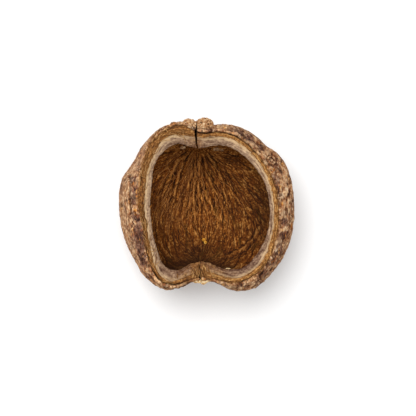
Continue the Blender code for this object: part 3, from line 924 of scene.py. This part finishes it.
class Nodes:
    """Builds a material by short calls. Each call adds one node or a few, and returns the output."""

    def __init__(self, name, roughness, specular=0.3):
        self.material = bpy.data.materials.new(name)
        self.material.use_nodes = True
        self.tree = self.material.node_tree
        self.shader = self.tree.nodes["Principled BSDF"]
        self.put(self.shader, {"Roughness": roughness, "Specular IOR Level": specular})

    def put(self, node, inputs):
        """Sets a node's inputs to values, or links them to other nodes' outputs."""
        for name, value in inputs.items():
            if isinstance(value, bpy.types.NodeSocket):
                self.tree.links.new(value, node.inputs[name])
            else:
                node.inputs[name].default_value = value

    def add(self, kind, inputs, output=0, **settings):
        node = self.tree.nodes.new("ShaderNode" + kind)
        for name, value in settings.items():
            setattr(node, name, value)
        self.put(node, inputs)
        return node.outputs[output]

    def field(self, name, output="Fac"):
        return self.add("Attribute", {}, output, attribute_name=name)

    def position(self):
        return self.add("TexCoord", {}, "Object")

    def parts(self, vector):
        return self.add("SeparateXYZ", {0: vector}).node.outputs

    def stretched(self, vector, scale, shift=(0, 0, 0)):
        return self.add("Mapping", {"Vector": vector, "Scale": scale, "Location": shift})

    def noise(self, vector, scale, detail=2.0, roughness=0.6, distortion=0.0):
        return self.add("TexNoise", {
            "Vector": vector, "Scale": scale, "Detail": detail, "Roughness": roughness,
            "Distortion": distortion,
        }, "Fac")

    def warped(self, vector, scale, amount):
        """Moves places about, by up to about half the amount, in metres."""
        shift = self.add("TexNoise", {"Vector": vector, "Scale": scale}, "Color")
        inputs = {0: shift, 1: (amount, amount, amount), 2: vector}
        return self.add("VectorMath", inputs, "Vector", operation="MULTIPLY_ADD")

    def mosaic(self, vector, scale):
        """Uneven patches, each with a value of its own from 0 to 1."""
        return self.parts(self.add("TexVoronoi", {"Vector": vector, "Scale": scale}, "Color"))[0]

    def ramp(self, value, *stops):
        """Colours by a value. Each stop is its place, then its red, green and blue."""
        colours = self.add("ValToRGB", {"Fac": value}, "Color")
        elements = colours.node.color_ramp.elements
        while len(elements) < len(stops):
            elements.new(0.5)
        for element, (place, *colour) in zip(elements, stops):
            element.position = place
            element.color = srgb(*colour)
        return colours

    def range(self, value, low, high, new_low=0.0, new_high=1.0):
        inputs = {"Value": value, "From Min": low, "From Max": high, "To Min": new_low, "To Max": new_high}
        return self.add("MapRange", inputs, "Result", interpolation_type="SMOOTHSTEP")

    def math(self, operation, a, b):
        return self.add("Math", {0: a, 1: b}, operation=operation)

    def times(self, a, b):
        return self.math("MULTIPLY", a, b)

    def total(self, *shares):
        """Adds up shares. Each is a value, or a value and its weight."""
        whole = None
        for share in shares:
            value = self.times(*share) if isinstance(share, tuple) else share
            whole = value if whole is None else self.math("ADD", whole, value)
        return whole

    def mix(self, amount, a, b, blend="MIX"):
        return self.add("Mix", {"Factor": amount, 6: a, 7: b}, 2, data_type="RGBA", blend_type=blend)

    def finish(self, colour, height=None, distance=0.0, strength=1.0):
        """The material, with a bump from height where that is given."""
        self.put(self.shader, {"Base Color": colour})
        if height is not None:
            normal = self.add("Bump", {"Height": height, "Distance": distance, "Strength": strength})
            self.put(self.shader, {"Normal": normal})
        return self.material


def srgb(red, green, blue):
    """A colour given as it looks on screen in this light, 0 to 255 a channel, as the share it reflects."""
    shown = [channel / 255 for channel in (red, green, blue)]
    linear = [c / 12.92 if c <= 0.04 else ((c + 0.055) / 1.055) ** 2.4 for c in shown]
    return (*[c / WHITE_LEVEL for c in linear], 1.0)


def rind_material():
    """Tan cork with purple-brown patches, worn orange spots, pale flakes and a grain along the fibres."""
    n = Nodes("rind", roughness=0.9, specular=0.15)
    fibre, position = n.field("fibre", "Vector"), n.position()
    relief, shoulder, inner = n.field("relief"), n.field("shoulder"), n.field("inner")
    purple_mark, orange_mark, pale_mark = n.parts(n.field("marks", "Vector"))
    grain = n.noise(n.stretched(fibre, (75, 13, 0)), 1.0)
    chips = n.noise(n.stretched(fibre, (44, 40, 0), (3, 1, 0)), 1.0, distortion=0.4)
    flaked = n.noise(n.stretched(fibre, (62, 46, 0), (8, 1, 0)), 1.0)
    reddened = n.noise(n.stretched(fibre, (50, 40, 0), (1, 9, 0)), 1.0)
    rusted = n.noise(n.stretched(position, (1, 0.5, 1), (7, 0, 0)), 380.0)
    speck = n.noise(n.stretched(position, (1, 0.7, 1)), 950.0, 1.5)
    lump = n.noise(position, 360.0)
    patch = n.noise(n.stretched(position, (1, 0.55, 1)), 170.0, 4.0, 0.65, 0.8)
    bark = n.mosaic(n.warped(n.stretched(position, (1, 0.7, 1)), 500.0, 2.4 * MM), 560.0)
    grained = n.total((grain, 0.6), (speck, 0.4))
    mottled = n.total((lump, 0.25), (speck, 0.35), (chips, 0.28), (bark, 0.12))

    wall = n.ramp(
        grained, (0.38, 92, 56, 34), (0.46, 156, 112, 76), (0.54, 194, 150, 110), (0.62, 236, 202, 162),
    )
    cork = n.ramp(
        mottled, (0.4, 78, 44, 22), (0.465, 146, 96, 60), (0.535, 194, 142, 98), (0.6, 242, 202, 154),
    )
    purple = n.ramp(mottled, (0.41, 50, 28, 22), (0.5, 94, 61, 47), (0.59, 146, 106, 84))
    amber = n.ramp(mottled, (0.4, 88, 52, 22), (0.5, 138, 92, 48), (0.6, 186, 136, 84))
    cream = n.ramp(mottled, (0.4, 150, 108, 76), (0.5, 208, 170, 132), (0.6, 240, 212, 178))
    orange = n.ramp(mottled, (0.4, 120, 64, 24), (0.5, 196, 120, 50), (0.58, 244, 182, 98))

    colour = n.mix(shoulder, wall, cork)
    patchy = n.range(n.total(patch, (shoulder, 0.02)), 0.55, 0.58, 0.0, 0.7)
    dark = n.math("MAXIMUM", patchy, purple_mark)
    colour = n.mix(dark, colour, purple)
    colour = n.mix(n.times(inner, 0.85), colour, amber)
    flakes = n.times(n.range(flaked, 0.6, 0.63, 0.0, 0.9), n.total(shoulder, (purple_mark, -0.7)))
    colour = n.mix(n.math("MAXIMUM", flakes, pale_mark), colour, cream)
    colour = n.mix(n.range(reddened, 0.54, 0.62, 0.0, 0.45), colour, srgb(168, 96, 54))
    rust = n.range(rusted, 0.64, 0.68, 0.0, 0.7)
    colour = n.mix(n.math("MAXIMUM", rust, orange_mark), colour, orange)
    # Painted shade in the hollows of the relief, and a painted highlight on its raised parts, less on the
    # dark patches
    colour = n.mix(n.range(relief, -0.05, -0.5, 0.0, 0.7), colour, srgb(62, 34, 20))
    raised_painted_highlight = n.times(n.range(relief, 0.1, 0.5), n.math("SUBTRACT", 0.4, n.times(dark, 0.3)))
    colour = n.mix(raised_painted_highlight, colour, srgb(230, 194, 152))
    # Painted light: the rind's left side is made paler and its right side darker
    east = n.parts(position)[0]
    colour = n.mix(n.range(east, -0.01, -0.035), colour, (1.14, 1.14, 1.14, 1.0), "MULTIPLY")
    colour = n.mix(n.range(east, 0.01, 0.035), colour, (0.93, 0.92, 0.91, 1.0), "MULTIPLY")
    return n.finish(colour, n.total(grain, speck, lump, chips, (bark, 0.25)), 0.55 * MM)


def lip_material():
    """An amber ridge of short strands, then a pale grey-beige band with fine lines along the rim."""
    n = Nodes("lip", roughness=0.75, specular=0.2)
    relief, rim, position = n.field("relief"), n.field("rim", "Vector"), n.position()
    torn, closed, tone = n.field("torn"), n.field("closed"), n.field("tone")
    place, east, _ = n.parts(rim)
    strands = n.noise(n.stretched(rim, (2.6, 8, 8)), 1.0)
    lines = n.noise(n.stretched(rim, (2.0, 6, 6), (3, 1, 2)), 1.0, 3.0, 0.65, 0.2)
    speck = n.noise(position, 1000.0, 1.5)
    lump = n.noise(position, 430.0)
    stranded = n.total((strands, 0.6), (speck, 0.4), n.range(east, -0.6, 0.7, -0.04, 0.03))
    amber = n.ramp(
        stranded, (0.37, 80, 42, 10), (0.46, 134, 84, 34), (0.54, 168, 112, 54), (0.63, 222, 168, 98),
    )
    lined = n.math("ADD", n.total((lines, 0.5), (speck, 0.32), (tone, 0.07)), 0.09)
    grey = n.ramp(
        lined, (0.36, 84, 52, 36), (0.44, 128, 96, 74), (0.52, 164, 132, 104), (0.6, 194, 160, 126),
        (0.68, 226, 192, 154),
    )
    ragged = n.math("SUBTRACT", n.total(place, (lump, 2.0)), 1.0)
    colour = n.mix(n.range(ragged, 4.2, 4.8), amber, grey)
    # A painted highlight along the pale band's outer edge, stronger where the band's tone is lighter
    edge = n.times(n.range(ragged, 4.3, 4.7), n.range(ragged, 6.1, 5.3))
    colour = n.mix(n.times(edge, n.range(tone, -0.6, 0.6, 0.35, 0.9)), colour, srgb(226, 190, 144))
    colour = n.mix(torn, colour, n.mix(0.3, amber, srgb(92, 56, 28)))
    # Painted shade down in the groove where it is open
    groove = n.times(n.range(place, 2.4, 1.1, 0.0, 0.9), n.math("SUBTRACT", 1.0, closed))
    colour = n.mix(groove, colour, srgb(64, 36, 14))
    # Painted shade under the mouth's edge
    colour = n.mix(n.range(place, 8.9, 9.8), colour, srgb(70, 42, 24))
    # Painted shade in the hollows of the relief
    colour = n.mix(n.range(relief, -0.05, -0.4, 0.0, 0.8), colour, srgb(60, 34, 14))
    return n.finish(colour, n.total(strands, lines, speck), 0.35 * MM, 0.9)


def lining_material():
    """Reddish-brown fibres that fan out from the stem, with painted highlights on the ribs and painted
    shade, nearly black, between them.
    """
    n = Nodes("lining", roughness=0.8, specular=0.1)
    relief, tone, painted_shading = n.field("relief"), n.field("tone"), n.field("painted_shading")
    fibre, position = n.field("fibre", "Vector"), n.position()
    threads = n.noise(n.stretched(fibre, (1100, 260, 0)), 1.0, 1.5, distortion=0.3)
    grit = n.noise(position, 1100.0, 1.5)
    mottle = n.noise(position, 210.0, 4.0)
    hue = n.noise(n.stretched(fibre, (330, 90, 0), (5, 0, 0)), 1.0)
    colour = n.ramp(
        n.total((threads, 0.55), (grit, 0.45), (tone, 0.08)),
        (0.37, 48, 20, 2), (0.46, 102, 50, 9), (0.55, 158, 90, 27), (0.66, 232, 162, 84),
    )
    colour = n.mix(n.range(mottle, 0.48, 0.66, 0.0, 0.45), colour, srgb(132, 66, 14))
    colour = n.mix(n.range(hue, 0.56, 0.66, 0.0, 0.5), colour, srgb(104, 72, 16))
    # Painted shade, nearly black, in the hollows between the strands, and painted highlights on their tops
    colour = n.mix(n.range(relief, 0.0, -0.6, 0.0, 0.85), colour, srgb(34, 14, 3))
    colour = n.mix(n.range(relief, 0.15, 0.7, 0.0, 0.35), colour, srgb(184, 120, 58))
    # Painted shade up the walls, most on the right and towards the beak, then painted light on the left wall
    # by multiplying
    colour = n.mix(painted_shading, colour, srgb(44, 22, 8))
    colour = n.mix(n.range(painted_shading, 0.0, -0.5), colour, (1.8, 1.7, 1.55, 1.0), "MULTIPLY")
    return n.finish(colour, n.total(threads, grit), 0.4 * MM)


def fibre_material(name):
    """Loose fibres, each of its own tone."""
    n = Nodes(name, roughness=0.75, specular=0.15)
    dark, middle, light = COLOURS[name]
    speck = n.noise(n.position(), 1100.0)
    mixed = n.total((n.field("tone"), 0.55), (speck, 0.45))
    return n.finish(n.ramp(mixed, (0.2, *dark), (0.5, *middle), (0.8, *light)), speck, 0.1 * MM, 0.8)


def lump_material(name):
    """Rough broken wood, with painted shade in its pits."""
    n = Nodes(name, roughness=0.85, specular=0.15)
    dark, middle, light = COLOURS[name]
    grit = n.noise(n.position(), 1000.0, distortion=0.3)
    mottle = n.noise(n.position(), 400.0)
    mixed = n.total((grit, 0.55), (mottle, 0.45))
    colour = n.ramp(mixed, (0.39, *dark), (0.5, *middle), (0.61, *light))
    # Painted shade in the pits
    colour = n.mix(n.range(n.field("relief"), -0.2, -0.9, 0.0, 0.85), colour, srgb(70, 38, 18))
    return n.finish(colour, grit, 0.5 * MM)


# Setting

def make_floor():
    corners = [(x * FLOOR_REACH, y * FLOOR_REACH, 0.0) for x, y in ((-1, -1), (1, -1), (1, 1), (-1, 1))]
    floor = add_piece("floor", corners, [(0, 1, 2, 3)], {})
    floor.data.materials.append(Nodes("floor", roughness=0.9).finish(FLOOR_GREY))


def make_lights():
    world = bpy.data.worlds.new("studio")
    bpy.context.scene.world = world
    world.use_nodes = True
    background = world.node_tree.nodes["Background"]
    background.inputs["Color"].default_value = (1.0, 1.0, 1.0, 1.0)
    background.inputs["Strength"].default_value = WORLD_STRENGTH
    data = bpy.data.lights.new("key", "AREA")
    data.shape = "DISK"
    data.size = KEY_SIZE
    data.energy = KEY_ENERGY
    key = bpy.data.objects.new("key", data)
    bpy.context.scene.collection.objects.link(key)
    key.location = KEY_PLACE
    key.rotation_mode = "QUATERNION"
    key.rotation_quaternion = (-key.location).to_track_quat("-Z", "Y")


def make_camera():
    """Puts the mouth's axis, at the height of the rim, on its pixel of the image."""
    back = Vector((-math.sin(CAMERA_TILT), 0, math.cos(CAMERA_TILT)))
    level = Vector((math.cos(CAMERA_TILT), 0, math.sin(CAMERA_TILT)))
    right = math.cos(CAMERA_ROLL) * level - math.sin(CAMERA_ROLL) * Vector((0, 1, 0))
    up = math.sin(CAMERA_ROLL) * level + math.cos(CAMERA_ROLL) * Vector((0, 1, 0))
    target = Vector(AXIS) + Vector((0, 0, RIM_HEIGHT))
    middle = IMAGE_PIXELS / 2
    aside = (middle - AXIS_PIXEL[0]) / PIXELS_PER_MM * MM
    below = (middle - AXIS_PIXEL[1]) / PIXELS_PER_MM * MM
    data = bpy.data.cameras.new("camera")
    data.sensor_width = SENSOR
    data.lens = SENSOR * CAMERA_DISTANCE / (IMAGE_PIXELS / PIXELS_PER_MM * MM)
    camera = bpy.data.objects.new("camera", data)
    bpy.context.scene.collection.objects.link(camera)
    camera.location = target + back * CAMERA_DISTANCE + right * aside - up * below
    camera.rotation_mode = "QUATERNION"
    camera.rotation_quaternion = Matrix((right, up, back)).transposed().to_quaternion()
    bpy.context.scene.camera = camera
    bpy.context.scene.view_settings.view_transform = "Standard"


def dress(piece, material):
    piece.data.materials.append(material)
    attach(piece, BODY)


make_camera()
make_lights()
make_floor()

rind, lip, lining = make_rind(), make_lip(), make_lining()
stem_left, stem_right, beak = [rough_lump(name, *values) for name, values in LUMPS.items()]
wood = {kind: lump_material(kind) for kind in ("stem", "beak", "torn", "crumb", "scar", "pale")}
coats = [
    (rind, rind_material()), (lip, lip_material()), (lining, lining_material()),
    (stem_left, wood["stem"]), (stem_right, wood["stem"]), (beak, wood["beak"]),
]
for piece, material in coats:
    dress(piece, material)
    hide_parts(NODE)

# The crack and the suture go through all of these, and what they cut takes the torn material, whose dark
# colours are painted shade down in the splits
splits = [split_wedge("crack", CRACK), split_wedge("suture", SUTURE)]
for splitter in splits:
    splitter.data.materials.append(wood["torn"])
for piece, _ in coats:
    cut(piece, splits)
for splitter in splits:
    bpy.data.objects.remove(splitter)

# Loose fibres on the lining, along the ridge and groove, and at the torn beak
strands = lay_fibres("strands", [lining], on_lining, fan_heading, LINING_TOP, SEED, painted_shade_of_place)
frays = lay_fibres("frays", [rind, lip], on_ridge, rim_heading, ABOVE_ALL, SEED + 1)
tears = lay_fibres("tears", [lip, beak], on_beak, beak_heading, ABOVE_ALL, SEED + 2)
fray_material = fibre_material("fray")
dress(strands, fibre_material("strand"))
dress(frays, fray_material)
dress(tears, fray_material)

for name, (centre, radii, kind) in BITS.items():
    dress(rough_lump(name, centre, radii, BIT_SEED + centre[0], BIT_ROUGHNESS, BIT_FINENESS), wood[kind])
